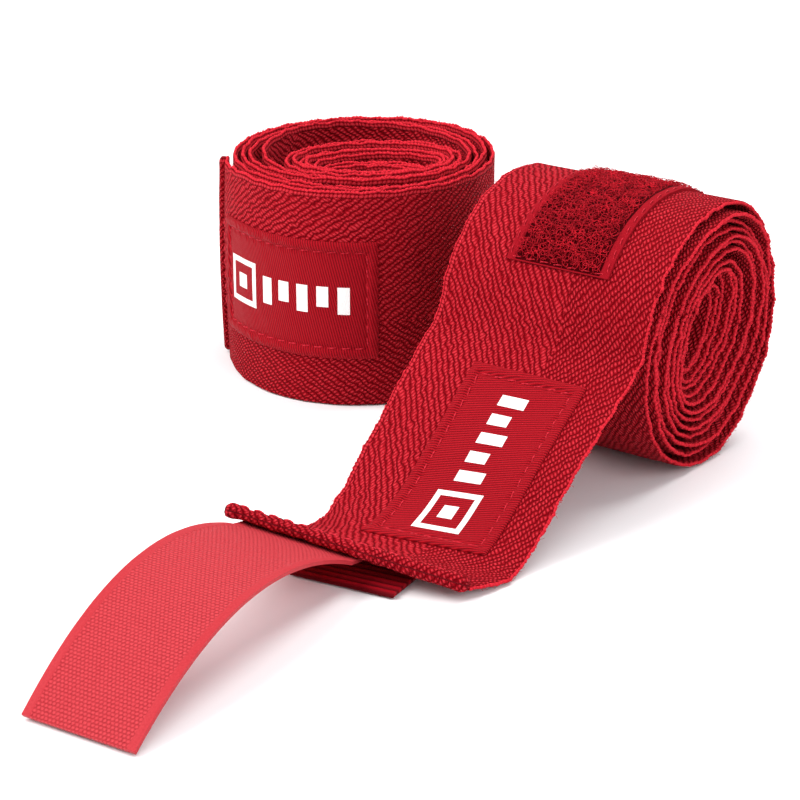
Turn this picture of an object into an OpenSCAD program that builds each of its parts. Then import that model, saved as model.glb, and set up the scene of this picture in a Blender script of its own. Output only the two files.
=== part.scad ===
// A pair of boxing hand wraps. One is rolled up and closed, standing on its edge.
// The other lies on its side with its end let out in front of it.
// Each band is drawn as its own edge: a curve in the plane that the band is rolled in,
// given the band's thickness, and then drawn out across the band's width.

/* [Band] */
// Width of the woven band
band_w = 50; // [48:0.5:52]
// Thickness of the woven band
band_t = 1.2; // [1.1:0.05:1.25]
// Space that each turn of a tight roll takes up
turn_pitch = 1.45; // [1.4:0.01:1.45]

/* [Open roll] */
// Turns in the roll that lies on its side
open_turns = 13; // [11:1:13]
// Longer half of the roll's oval
open_long = 29.5; // [29:0.1:31]
// Shorter half of the roll's oval
open_short = 28.5; // [28:0.1:30]
// Lean of the oval, from level
open_lean = 52; // [40:1:60]

/* [Let-out end] */
// Distance from the roll's axis to the place where the end meets the surface
tail_reach = 74; // [72:0.5:78]
// Skew of the hem, seen from above
hem_skew = 16; // [12:1:18]
// Side tilt of the hem, its left end up
hem_tilt = 9.5; // [7:0.5:10]
// Rise of the hem towards its front
hem_pitch = 18; // [15:1:20]

/* [Closed roll] */
// Turns in the roll that stands on its edge
closed_turns = 11.8; // [10.8:1:11.8]
// Half of its oval, across
closed_across = 31.6; // [31.2:0.1:33]
// Half of its oval, front to back
closed_deep = 35.9; // [35:0.1:37]
// Turn of the standing roll about its own axis
closed_turned = 36; // [20:1:50]

/* [Fastening tapes] */
// Width of the hook tape and of the loop tape
tape_w = 25; // [23:0.5:26]
// Thickness of the hook tape
hook_t = 1; // [0.8:0.05:1]
// Length of the loop patch
patch_len = 70; // [60:1:75]
// Height of the arch that the let-out hook strip makes
strip_arch = 10.5; // [8:0.5:12]

/* [Label] */
// Width of the label
label_w = 27; // [24:0.5:30]
// Length of the label
label_len = 46; // [42:0.5:47]
// Thickness of the label
label_t = 0.4; // [0.3:0.05:0.45]

/* [Hidden] */

band_red = [0.72, 0.08, 0.13];
pile_red = [0.62, 0.04, 0.10];
label_red = [0.68, 0.08, 0.14];
hook_red = [0.86, 0.27, 0.31];
thread_red = [0.80, 0.14, 0.18];
print_white = [0.97, 0.95, 0.93];

// Places of the two rolls. The origin is under the middle of the pair.
open_x = 16.1;          // left edge of the open band
open_y = 62.8;          // axis of the open roll
closed_at = [-35.3, 73.7];

half_t = band_t / 2;
gap = 0.05;             // air between two sewn layers
clear = 0.3;            // air between two bodies
steps = 30;             // points in one turn
looseness = 2.5;        // how much of the slack is in the outer turns

// Half sizes of the innermost turn, to the right, up, left and down of the roll's axis
open_core = [8.9, 3.2, 8.1, 3.2];
closed_core = [13, 10.7, 6, -4.3];
open_outer = [open_long, open_short, open_long, open_short];
closed_outer = [closed_across, closed_deep, closed_across, closed_deep];
open_end_angle = 165;
closed_end_angle = 185;

// ---- Curves ----

function mix(a, b, f) = a + (b - a) * f;
function unit(v) = v / norm(v);

// Half size of the turn that is the share f of the way out
function reach(core, outer, turns, f) =
    core + turn_pitch * turns * f + (outer - core - turn_pitch * turns) * pow(f, looseness);

// One point of a coil: an oval that grows as it goes round, from the core outwards
function coil_point(core, outer, turns, lean, end_angle, i) =
    let (f = i / (turns * steps),
         e = [for (k = [0:3]) reach(core[k], outer[k], turns, f)],
         a = end_angle - lean - 360 * (turns - i / steps),
         p = [(e[0] - e[2]) / 2 + (e[0] + e[2]) / 2 * cos(a),
              (e[1] - e[3]) / 2 + (e[1] + e[3]) / 2 * sin(a)])
    [p.x * cos(lean) - p.y * sin(lean), p.x * sin(lean) + p.y * cos(lean)];

function coil(core, outer, turns, lean, end_angle) =
    [for (i = [0:turns * steps]) coil_point(core, outer, turns, lean, end_angle, i)];

function bezier(p, n) = [for (k = [0:n]) let (f = k / n, g = 1 - f)
    g * g * g * p[0] + 3 * g * g * f * p[1] + 3 * g * f * f * p[2] + f * f * f * p[3]];

// Outward normal of a curve's segment, and the mitred normal at its point i
function side(c, i) = let (d = unit(c[i + 1] - c[i])) [d.y, -d.x];
function mitre(c, i) = i == 0 ? side(c, 0) : i == len(c) - 1 ? side(c, i - 1)
    : let (m = side(c, i - 1) + side(c, i)) 2 * m / (m * m);

// The point at place x along a curve, moved out by d
function skin(c, x, d) = let (i = min(floor(x), len(c) - 2))
    mix(c[i] + d * mitre(c, i), c[i + 1] + d * mitre(c, i + 1), x - i);
function places(x0, x1) = concat([x0], [for (i = [floor(x0) + 1 : ceil(x1) - 1]) i], [x1]);

// Place along a curve that lies the given length before place x
function back_by(c, x, length) = let (i = ceil(x) - 1, seg = norm(c[i + 1] - c[i]))
    (x - i) * seg >= length ? x - length / seg : back_by(c, i, length - (x - i) * seg);

open_flat = coil(open_core, open_outer, open_turns, open_lean, open_end_angle);
open_z = half_t - min([for (p = open_flat) p.y]);
open_curve = [for (p = open_flat) p + [open_y, open_z]];
open_last = len(open_curve) - 1;
closed_curve = coil(closed_core, closed_outer, closed_turns, 0, closed_end_angle);
closed_last = len(closed_curve) - 1;

// The let-out end: a bend off the roll, then a slope that runs out flat on the surface
tail_gap = half_t + clear;
tail_way = unit(open_curve[open_last] - open_curve[open_last - 1]);
tail_start = open_curve[open_last] + tail_gap * tail_way;
tail_bend = [open_y - 37, 25.3];
tail_foot = [open_y - tail_reach, half_t];
tail_curve = concat(
    bezier([tail_start, tail_start + 5 * tail_way, tail_bend + [4, 2.6], tail_bend], 6),
    [for (i = [1:9]) bezier([tail_bend, tail_bend - [13, 8.3],
                             tail_foot + [10, 0], tail_foot], 9)[i]]);
tail_last = len(tail_curve) - 1;

// ---- Bands, tapes and stitches, all drawn in the rolling plane ----

// A layer along a curve from place x0 to x1, between two heights over the curve and two widths
module layer(c, x0, x1, d0, d1, w0, w1) {
    at = places(x0, x1);
    translate([0, 0, w0]) linear_extrude(w1 - w0) polygon(concat(
        [for (x = at) skin(c, x, d0)],
        [for (k = [len(at) - 1 : -1 : 0]) skin(c, at[k], d1)]));
}

stitch_len = 2;
stitch_w = 0.45;
stitch_pitch = 3;

// One stitch at place x and width w, from height d0 to d1; it runs along the band or across it
module stitch(c, x, w, d0, d1, along) {
    p = skin(c, x, d0);
    n = skin(c, x, d1) - p;
    long = along ? stitch_len : stitch_w;
    wide = along ? stitch_w : stitch_len;
    translate([p.x, p.y, w]) rotate([0, 0, atan2(n.y, n.x)])
        translate([0, -long / 2, -wide / 2]) cube([d1 - d0, long, wide]);
}

module seam_along(c, x0, x1, w, d0, d1) {
    count = floor(norm(skin(c, x1, 0) - skin(c, x0, 0)) * 1.05 / stitch_pitch);
    for (k = [0:count]) stitch(c, mix(x0, x1, k / count), w, d0, d1, true);
}

module seam_across(c, x, w0, w1, d0, d1) {
    count = floor((w1 - w0 - stitch_len) / stitch_pitch);
    for (k = [0:count])
        stitch(c, x, mix(w0 + stitch_len / 2, w1 - stitch_len / 2, k / count), d0, d1, false);
}

// A seam all round a patch, set in from its edges
module seam_round(c, x0, x1, w0, w1, inset, d0, d1) {
    far = back_by(c, x1, inset);
    near = x0 + (x1 - far);
    for (w = [w0 + inset, w1 - inset]) seam_along(c, near, far, w, d0, d1);
    for (x = [near, far])
        seam_across(c, x, w0 + inset + stitch_w, w1 - inset - stitch_w, d0, d1);
}

label_d = half_t + gap;
patch_base = 0.8;
patch_pile = 0.8;
patch_edge = 2.5;       // flat selvedge of the loop tape
label_inset = 2.4;

// Label's print: a square frame with a block in it, then a row of bars
module emblem(c, x0, mid_w, d) {
    frame = 10;
    line = 1.2;
    step = 4.4;
    function at(s) = back_by(c, x0, s);
    module block(s0, s1, w0, w1)
        layer(c, at(s1), at(s0), d, d + 0.15, mid_w + w0, mid_w + w1);
    start = 5;
    for (s = [start, start + frame - line]) block(s, s + line, -frame / 2, frame / 2);
    for (w = [-frame / 2, frame / 2 - line])
        block(start + line, start + frame - line, w, w + line);
    block(start + 3.5, start + 6.5, -1.5, 1.5);
    for (k = [0:4]) block(18 + k * step, 18 + k * step + 2.6, -3, k % 2 == 0 ? 3 : 1.5);
}

module loop_patch(c, x0, x1, w0, w1) {
    d = half_t + gap;
    x0_pile = x0 + x1 - back_by(c, x1, 1);
    layer(c, x0, x1, d, d + patch_base, w0, w1);
    layer(c, x0_pile, back_by(c, x1, 1), d, d + patch_base + patch_pile,
          w0 + patch_edge, w1 - patch_edge);
}

// A hem: the band's end rolled up on its outer side, with a round front
module hem_outline(depth, height) {
    r = height / 2;
    translate([-depth + r, -half_t]) square([depth - r, height]);
    translate([-depth + r, r - half_t]) circle(r);
}

// The thumb loop, pressed flat in the core of a roll
loop_half = 5.2;
loop_r = 1.3;
loop_hole = 0.45;
loop_w = 20;
module flat_ring(half, r) {
    square([2 * half, 2 * r], center = true);
    for (x = [-half, half]) translate([x, 0]) circle(r);
}
module thumb_loop() {
    translate([0, 0, (band_w - loop_w) / 2]) linear_extrude(loop_w) difference() {
        flat_ring(loop_half, loop_r);
        flat_ring(loop_half - 0.4, loop_hole);
    }
}
module thumb_loop_stitches(reach_out) {
    for (k = [-2:2]) translate([-1.5, loop_r - 0.5, band_w / 2 + k * stitch_pitch - 1])
        cube([stitch_w, reach_out, stitch_len]);
}

// ---- Places ----

module in_open() translate([open_x, 0, 0]) rotate([90, 0, 90]) children();
module in_closed() translate([closed_at.x, closed_at.y, band_w]) rotate([180, 0, closed_turned])
    children();
module in_open_core() in_open() translate([open_y, open_z]) rotate(open_lean)
    translate([(open_core[0] - open_core[2]) / 2, (open_core[1] - open_core[3]) / 2]) children();
module in_closed_core() in_closed()
    translate([(closed_core[0] - closed_core[2]) / 2, (closed_core[1] - closed_core[3]) / 2])
    children();

// ---- The open wrap ----

// Across the band: the tapes and the label sit a little right of its middle
tape_w0 = 13.5;
tape_w1 = tape_w0 + tape_w;
label_w0 = 14;
label_w1 = label_w0 + label_w;
open_patch_x1 = back_by(open_curve, open_last, 10.5);
open_patch_x0 = back_by(open_curve, open_patch_x1, patch_len);
open_label_x1 = back_by(tail_curve, tail_last, 1.5);
open_label_x0 = back_by(tail_curve, open_label_x1, label_len);

module open_band_roll() color(band_red)
    in_open() layer(open_curve, 0, open_last, -half_t, half_t, 0, band_w);

// The hem's own frame: x along the hem from its left end, y back, z up from the band's middle
hem_at = [open_x, open_y - 99.5, 9.6];
hem_turn = [-hem_pitch, hem_tilt, hem_skew];
hem_depth = 4.2;
hem_height = 3;
module at_hem() translate(hem_at) rotate(hem_turn) children();
function turn_x(p, a) = [p.x, p.y * cos(a) - p.z * sin(a), p.y * sin(a) + p.z * cos(a)];
function turn_y(p, a) = [p.x * cos(a) + p.z * sin(a), p.y, p.z * cos(a) - p.x * sin(a)];
function turn_z(p, a) = [p.x * cos(a) - p.y * sin(a), p.x * sin(a) + p.y * cos(a), p.z];
function from_hem(p) =
    hem_at + turn_z(turn_y(turn_x(p, hem_turn.x), hem_turn.y), hem_turn.z);

// A sheet through a grid of points, with the given thickness half above and half below
module sheet(grid, t) {
    rows = len(grid);
    cols = len(grid[0]);
    function up(r, k) = unit(cross(
        grid[r][min(k + 1, cols - 1)] - grid[r][max(k - 1, 0)],
        grid[max(r - 1, 0)][k] - grid[min(r + 1, rows - 1)][k]));
    function id(s, r, k) = s * rows * cols + r * cols + k;
    points = [for (s = [0, 1], r = [0:rows - 1], k = [0:cols - 1])
        grid[r][k] + (0.5 - s) * t * up(r, k)];
    cells = [for (r = [0:rows - 2], k = [0:cols - 2]) [r, k]];
    rim = concat([for (k = [0:cols - 2]) [0, k]], [for (r = [0:rows - 2]) [r, cols - 1]],
        [for (k = [cols - 1 : -1 : 1]) [rows - 1, k]], [for (r = [rows - 1 : -1 : 1]) [r, 0]]);
    n = len(rim);
    polyhedron(points, concat(
        [for (c = cells) [id(0, c[0], c[1]), id(0, c[0], c[1] + 1), id(0, c[0] + 1, c[1] + 1)]],
        [for (c = cells) [id(0, c[0], c[1]), id(0, c[0] + 1, c[1] + 1), id(0, c[0] + 1, c[1])]],
        [for (c = cells) [id(1, c[0], c[1]), id(1, c[0] + 1, c[1] + 1), id(1, c[0], c[1] + 1)]],
        [for (c = cells) [id(1, c[0], c[1]), id(1, c[0] + 1, c[1]), id(1, c[0] + 1, c[1] + 1)]],
        [for (m = [0:n - 1]) let (a = rim[m], b = rim[(m + 1) % n])
            [id(0, a[0], a[1]), id(1, a[0], a[1]), id(1, b[0], b[1])]],
        [for (m = [0:n - 1]) let (a = rim[m], b = rim[(m + 1) % n])
            [id(0, a[0], a[1]), id(1, b[0], b[1]), id(0, b[0], b[1])]]));
}

// The flap between the foot of the slope (f = 0) and the back of the hem (f = 1)
function flap_point(f, g) = mix([open_x + g * band_w, tail_foot.x + 0.3, tail_foot.y],
    from_hem([g * band_w, gap, 0]), f);

module open_band_tail() color(band_red) {
    in_open() {
        layer(tail_curve, 0, tail_last, -half_t, half_t, 0, band_w);
        translate(tail_start) cylinder(h = band_w, r = half_t, $fn = 24);
    }
    sheet([for (f = [0:0.25:1]) [for (g = [0:0.125:1]) flap_point(f, g)]], band_t);
}

module open_end_hem() color(band_red)
    at_hem() rotate([90, 0, 90]) linear_extrude(band_w) hem_outline(hem_depth, hem_height);

module open_hem_stitches() color(thread_red) at_hem()
    for (x = [2 : stitch_pitch : band_w - 3]) translate([x, -1.3, hem_height - half_t - 1])
        cube([stitch_len, stitch_w, 1.1]);

module open_label() color(label_red) in_open()
    layer(tail_curve, open_label_x0, open_label_x1, label_d, label_d + label_t,
          label_w0, label_w1);

module open_label_stitches() color(thread_red) in_open()
    seam_round(tail_curve, open_label_x0, open_label_x1, label_w0, label_w1, label_inset,
               half_t - 0.5, label_d + label_t + 0.1);

module open_label_emblem() color(print_white) in_open()
    emblem(tail_curve, open_label_x1, (label_w0 + label_w1) / 2, label_d + label_t + gap);

module open_loop_patch() color(pile_red) in_open()
    loop_patch(open_curve, open_patch_x0, open_patch_x1, tape_w0, tape_w1);

module open_loop_patch_stitches() color(thread_red) in_open()
    seam_round(open_curve, open_patch_x0, open_patch_x1, tape_w0, tape_w1, 0.7,
               half_t - 0.5, half_t + gap + patch_base + 0.1);

// Hook strip: sewn under the hem, it arches forward and down to the surface
strip_x0 = 3;
seam_depth = 6;
strip_d = -half_t - gap - hook_t / 2;
fold_y = -hem_depth - 1.5;
strip_left = [from_hem([strip_x0, fold_y, strip_d]), [open_x + 13.5, open_y - 171.1, 0.5]];
strip_right = [from_hem([strip_x0 + tape_w, fold_y, strip_d]), [open_x + 38, open_y - 169.5, 0.5]];
function arch(edge, f) = mix(edge[0], edge[1], f) + [0, 0, 4 * strip_arch * f * (1 - f)];
function strip_rows(f0, f1, n) = [for (k = [0:n]) let (f = mix(f0, f1, k / n))
    [for (g = [0:0.25:1]) mix(arch(strip_left, f), arch(strip_right, f), g)]];
fold_gap = 0.7;         // bare length each side of a fold line
strip_len = norm(strip_left[1] - strip_left[0]);

module open_hook_strip_seam() color(hook_red) at_hem()
    translate([strip_x0, -hem_depth, strip_d - hook_t / 2])
    cube([tape_w, hem_depth + seam_depth, hook_t]);

module open_hook_strip_root() color(hook_red)
    sheet(strip_rows(fold_gap / strip_len, 0.5 - fold_gap / strip_len, 8), hook_t);

module open_hook_strip_end() color(hook_red)
    sheet(strip_rows(0.5 + fold_gap / strip_len, 1, 8), hook_t);

// Two rows: one holds the strip under the flap, one holds the backing further back
module open_hook_stitches() color(thread_red) {
    at_hem() for (k = [0:7])
        translate([strip_x0 + 1.2 + k * stitch_pitch, 3, strip_d - hook_t / 2 - 0.1])
        cube([stitch_len, stitch_w, hook_t + gap + band_t + 0.5]);
    for (k = [0:6]) let (p = flap_point(0.35, 0.36 + k * 0.06))
        translate([p.x - stitch_len / 2, p.y, 0.3])
        cube([stitch_len, stitch_w, p.z + half_t - 0.2]);
}

module open_hook_backing() color(band_red)
    translate([open_x + 14.4, open_y - 99.1, 0]) rotate(8.6) cube([24, 17, 0.9]);

module open_thumb_loop() color(band_red) in_open_core() thumb_loop();

module open_thumb_loop_stitches() color(thread_red) in_open_core()
    thumb_loop_stitches(open_core[1] - loop_r + 0.5);

// ---- The closed wrap ----

closed_label_x1 = back_by(closed_curve, closed_last, 12);
closed_label_x0 = back_by(closed_curve, closed_label_x1, label_len);
closed_patch_x1 = back_by(closed_curve, closed_label_x0, 26);
closed_patch_x0 = back_by(closed_curve, closed_patch_x1, patch_len);
closed_tape_w0 = (band_w - tape_w) / 2;
closed_tape_w1 = closed_tape_w0 + tape_w;
closed_label_w0 = (band_w - label_w) / 2;
closed_hem_x = back_by(closed_curve, closed_last, hem_depth + gap);

module closed_band_roll() color(band_red)
    in_closed() layer(closed_curve, 0, closed_hem_x, -half_t, half_t, 0, band_w);

module closed_end_hem() color(band_red) {
    p = closed_curve[closed_last];
    n = side(closed_curve, closed_last - 1);
    in_closed() translate([p.x, p.y]) rotate(atan2(n.y, n.x) - 90) translate([hem_depth, 0])
        linear_extrude(band_w) hem_outline(hem_depth, hem_height);
}

module closed_hem_stitches() color(thread_red) in_closed()
    seam_across(closed_curve, back_by(closed_curve, closed_last, 2.2), 1, band_w - 1,
                half_t + 0.8, hem_height - half_t + 0.1);

module closed_label() color(label_red) in_closed()
    layer(closed_curve, closed_label_x0, closed_label_x1, label_d, label_d + label_t,
          closed_label_w0, closed_label_w0 + label_w);

module closed_label_stitches() color(thread_red) in_closed()
    seam_round(closed_curve, closed_label_x0, closed_label_x1, closed_label_w0,
               closed_label_w0 + label_w, label_inset, half_t - 0.5, label_d + label_t + 0.1);

module closed_label_emblem() color(print_white) in_closed()
    emblem(closed_curve, closed_label_x1, band_w / 2, label_d + label_t + gap);

module closed_loop_patch() color(pile_red) in_closed()
    loop_patch(closed_curve, closed_patch_x0, closed_patch_x1, closed_tape_w0, closed_tape_w1);

module closed_loop_patch_stitches() color(thread_red) in_closed()
    seam_round(closed_curve, closed_patch_x0, closed_patch_x1, closed_tape_w0, closed_tape_w1,
               0.7, half_t - 0.5, half_t + gap + patch_base + 0.1);

// The strip leaves the hem on its inner side, lies on the turn below, then on the loop patch
under_hem = closed_last - steps;
strip_low = half_t + clear;
strip_high = half_t + gap + patch_base + patch_pile + clear;
closed_strip_x0 = under_hem + 0.3;
closed_strip_x1 = closed_patch_x0 + 3.5;
closed_ramp_x0 = closed_patch_x0 - 0.9;
closed_ramp_x1 = closed_patch_x0 - 0.15;

module closed_hook_strip_seam() color(hook_red) in_closed()
    layer(closed_curve, under_hem - 1.1, under_hem + 0.05, strip_low, strip_low + hook_t,
          closed_tape_w0, closed_tape_w1);

function strip_lift(x) = x < closed_ramp_x0 ? strip_low : x > closed_ramp_x1 ? strip_high
    : mix(strip_low, strip_high, (x - closed_ramp_x0) / (closed_ramp_x1 - closed_ramp_x0));
closed_strip_places = concat(places(closed_strip_x0, closed_ramp_x0),
    places(closed_ramp_x1, closed_strip_x1));

module closed_hook_strip() color(hook_red) in_closed()
    translate([0, 0, closed_tape_w0]) linear_extrude(tape_w) polygon(concat(
        [for (x = closed_strip_places) skin(closed_curve, x, strip_lift(x))],
        [for (k = [len(closed_strip_places) - 1 : -1 : 0]) let (x = closed_strip_places[k])
            skin(closed_curve, x, strip_lift(x) + hook_t)]));

module closed_hook_stitches() color(thread_red) in_closed()
    seam_across(closed_curve, under_hem - 0.9, closed_tape_w0, closed_tape_w1, strip_low - 0.1,
                norm(closed_curve[closed_last] - closed_curve[under_hem]) + half_t + 0.1);

module closed_thumb_loop() color(band_red) in_closed_core() thumb_loop();

module closed_thumb_loop_stitches() color(thread_red) in_closed_core()
    thumb_loop_stitches((closed_core[1] + closed_core[3]) / 2 - loop_r + 0.5);

open_band_roll();
open_band_tail();
open_end_hem();
open_hem_stitches();
open_label();
open_label_stitches();
open_label_emblem();
open_loop_patch();
open_loop_patch_stitches();
open_hook_strip_seam();
open_hook_strip_root();
open_hook_strip_end();
open_hook_stitches();
open_hook_backing();
open_thumb_loop();
open_thumb_loop_stitches();
closed_band_roll();
closed_end_hem();
closed_hem_stitches();
closed_label();
closed_label_stitches();
closed_label_emblem();
closed_loop_patch();
closed_loop_patch_stitches();
closed_hook_strip_seam();
closed_hook_strip();
closed_hook_stitches();
closed_thumb_loop();
closed_thumb_loop_stitches();
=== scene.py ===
"""Looks for a pair of boxing hand wraps: one closed on its edge, one on its side, let out.

Lengths are in millimetres until a mesh is made. Each band or tape is a Ribbon: a strip that is
followed by d, the length along it, w, the width across it, and h, the height over its middle.
"""
import math

import bpy
import numpy as np
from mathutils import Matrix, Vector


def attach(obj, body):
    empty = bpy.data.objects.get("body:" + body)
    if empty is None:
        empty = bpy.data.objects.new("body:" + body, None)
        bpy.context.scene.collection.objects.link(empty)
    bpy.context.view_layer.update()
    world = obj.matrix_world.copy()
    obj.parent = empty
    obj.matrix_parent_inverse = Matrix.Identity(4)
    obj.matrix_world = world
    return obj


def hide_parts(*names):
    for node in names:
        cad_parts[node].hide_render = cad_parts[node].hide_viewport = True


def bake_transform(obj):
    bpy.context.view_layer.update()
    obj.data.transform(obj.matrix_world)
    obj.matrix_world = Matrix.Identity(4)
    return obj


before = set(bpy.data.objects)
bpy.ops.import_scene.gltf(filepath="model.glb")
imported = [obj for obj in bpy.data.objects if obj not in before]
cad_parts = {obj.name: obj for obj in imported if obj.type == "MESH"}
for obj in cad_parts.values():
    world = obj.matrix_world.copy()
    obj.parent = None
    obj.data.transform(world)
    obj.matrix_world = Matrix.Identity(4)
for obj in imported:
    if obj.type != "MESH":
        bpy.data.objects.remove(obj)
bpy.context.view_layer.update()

MM = 0.001

# ---- Sizes ----
# The CAD model has the same. PITCH is the rise of one turn, STEPS the points of one turn, and
# FINE how many points the cloth has for each of them. CLOSED_CUT is left off the closed band's
# end, where the hem is. CLOSED_LOW is how far the top edge of that end sinks.

BAND_W = 50.0
BAND_T = 1.0
CAD_HALF = 0.6
PITCH = 1.22
STEPS = 30
FINE = 12
LOOSENESS = 2.5
KNOT_PITCH = 0.95
TAPE_W = 25.0
TAPE_EDGE = 1.8
HOOK_T = 0.8
LABEL_W = 27.6
LABEL_LEN = 46.2
PATCH_LEN = 70.0
PATCH_EDGE = 2.1
BACKING_W, BACKING_L = 22.5, 17.0
THUMB_W, THUMB_L = 20.0, 24.0
STITCH_PITCH, STITCH_L = 3.0, 2.1
THREAD_R = 0.24

OPEN_X, OPEN_Y = 16.1, 62.8
OPEN_TURNS, OPEN_LEAN, OPEN_END = 13.0, 52.0, 165.0
OPEN_CORE = (8.9, 3.2, 8.1, 3.2)
OPEN_OUTER = (29.5, 28.5, 29.5, 28.5)
CLOSED_AT = (-35.3, 73.7)
CLOSED_TURNED = 36.0
CLOSED_TURNS, CLOSED_END = 11.8, 185.0
CLOSED_CORE = (13.0, 10.7, 6.0, -4.3)
CLOSED_OUTER = (32.2, 36.2, 32.6, 36.8)
CLOSED_CUT = 2.0
CLOSED_LOW, CLOSED_HEM_SHARE = 1.7, 0.956

HEM_AT = np.array([OPEN_X, OPEN_Y - 99.5, 9.6])
HEM_PITCH, HEM_TILT, HEM_SKEW = 18.0, 9.5, 16.0
HEM_DEPTH, HEM_HEIGHT, HEM_SEAM = 4.2, 3.0, 1.6
STRIP_X0 = 3.0
STRIP_D = -CAD_HALF - 0.05 - 0.5
STRIP_ARCH = 10.5
TAPE_W0 = 13.5
LABEL_W0 = 14.8


# ---- Curves ----

def sin_cos(degrees):
    return math.sin(math.radians(degrees)), math.cos(math.radians(degrees))


def step_up(x, a, b):
    """0 before a, 1 after b, and smooth between them."""
    t = np.clip((x - a) / (b - a), 0, 1)
    return t * t * (3 - 2 * t)


def coil(core, outer, turns, lean, end_angle, gaps, dents):
    """The rolled band seen from its edge, from the core outwards, in the rolling plane.
    gaps are (from, to, tight, shares): the turns stand apart between the first two places, by a
    share of the slack on each of the four sides, and lie tight from there to the third.
    dents are (angle, half width, share): a change of radius on one side."""
    i = np.arange(int(round(turns * STEPS * FINE)) + 1) / FINE
    f = i / (turns * STEPS)
    reach = []
    for k in range(4):
        slack = f ** LOOSENESS
        for start, stop, tight, shares in gaps:
            slack = slack + shares[k] * (step_up(f, start, stop) - step_up(f, stop, tight))
        tight_size = core[k] + PITCH * turns * f
        reach.append(tight_size + (outer[k] - core[k] - PITCH * turns) * slack)
    a = np.radians(end_angle - lean - 360 * (turns - i / STEPS))
    x = (reach[0] - reach[2]) / 2 + (reach[0] + reach[2]) / 2 * np.cos(a)
    y = (reach[1] - reach[3]) / 2 + (reach[1] + reach[3]) / 2 * np.sin(a)
    s, c = sin_cos(lean)
    x, y = x * c - y * s, x * s + y * c
    around = np.degrees(np.arctan2(y, x))
    size = np.ones(len(x))
    for angle, half_width, share in dents:
        off = (around - angle + 180) % 360 - 180
        size += share * np.exp(-(off / half_width) ** 2)
    return np.stack([x * size, y * size], -1)


def smooth_path(points, n):
    """A Catmull-Rom curve through points, with n steps between two of them."""
    p = np.array(points, float)
    p = np.vstack([2 * p[0] - p[1], p, 2 * p[-1] - p[-2]])
    out = []
    for a, b, c, d in zip(p[:-3], p[1:-2], p[2:-1], p[3:]):
        t = np.arange(n)[:, None] / n
        out.append(0.5 * (2 * b + (c - a) * t + (2 * a - 5 * b + 4 * c - d) * t ** 2
                          + (3 * b - a - 3 * c + d) * t ** 3))
    out.append(p[-2][None])
    return np.vstack(out)


def unit(v):
    return v / np.linalg.norm(v, axis=-1, keepdims=True)


class Ribbon:
    """A strip between two edge curves. Its outer side is on the right of the way along it."""

    def __init__(self, left, right, width):
        self.left, self.right, self.width = left, right, width
        middle = (left + right) / 2
        step = np.linalg.norm(np.diff(middle, axis=0), axis=1)
        self.d = np.concatenate([[0], np.cumsum(step)])
        self.length = float(self.d[-1])
        across = unit(right - left)
        self.n_left = unit(np.cross(np.gradient(left, axis=0), across))
        self.n_right = unit(np.cross(np.gradient(right, axis=0), across))

    def _pick(self, values, d):
        """The values at the length d, between the points of the strip."""
        return np.stack([np.interp(d, self.d, values[:, k]) for k in range(3)], -1)

    def at(self, d, w, h=0.0):
        d, w, h = np.broadcast_arrays(np.asarray(d, float), w, h)
        f = (w / self.width)[..., None]
        p = self._pick(self.left, d) * (1 - f) + self._pick(self.right, d) * f
        n = unit(self._pick(self.n_left, d) * (1 - f) + self._pick(self.n_right, d) * f)
        return p + n * h[..., None]


class Wave:
    """A smooth random wave along a length, between -1 and 1 or so."""

    def __init__(self, seed, shortest, longest, count):
        r = np.random.default_rng(seed)
        self.k = 2 * np.pi / np.exp(r.uniform(np.log(shortest), np.log(longest), count))
        self.phase = r.uniform(0, 2 * np.pi, count)
        self.amp = r.uniform(0.5, 1, count)
        self.amp /= self.amp.sum() ** 0.75

    def __call__(self, d):
        d = np.asarray(d, float)[..., None]
        return (np.sin(self.k * d + self.phase) * self.amp).sum(-1)


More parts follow.
